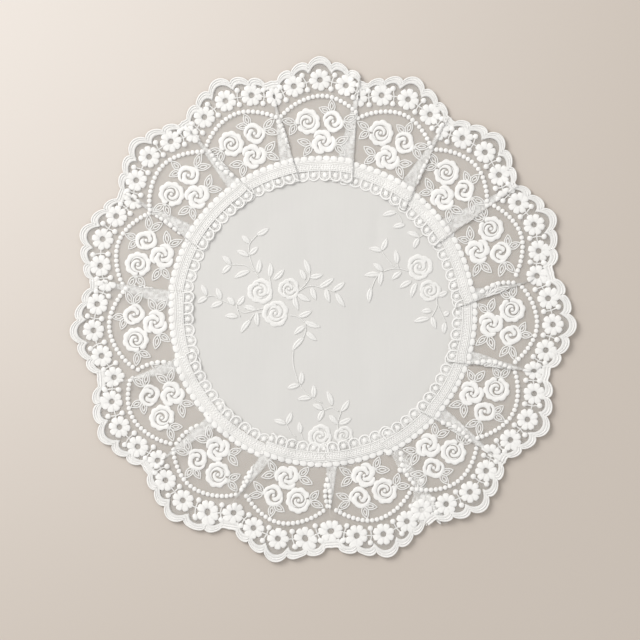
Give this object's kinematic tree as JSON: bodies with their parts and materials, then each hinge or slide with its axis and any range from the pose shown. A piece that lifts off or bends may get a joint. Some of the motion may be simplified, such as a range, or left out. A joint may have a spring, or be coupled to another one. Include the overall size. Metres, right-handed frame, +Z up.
{
  "type": "lace doily",
  "caption": "Round table doily of sheer embroidered cloth inside a knife-pleated edging of scalloped floral lace.",
  "frame": {"origin": "on the table, under the middle of the ring of lace", "axes": "+Z up out of the table; +Y towards the scallop at the top of the doily"},
  "size_m": [0.3001, 0.2995, 0.0049],
  "materials": {
    "centre_cloth": "semi-sheer plain weave, slightly silky",
    "lace": "embroidered net lace with satin stitch"
  },
  "bodies": {
    "root": {"centre_cloth": "centre_cloth", "lace_edging": "lace"}
  },
  "joints": []
}
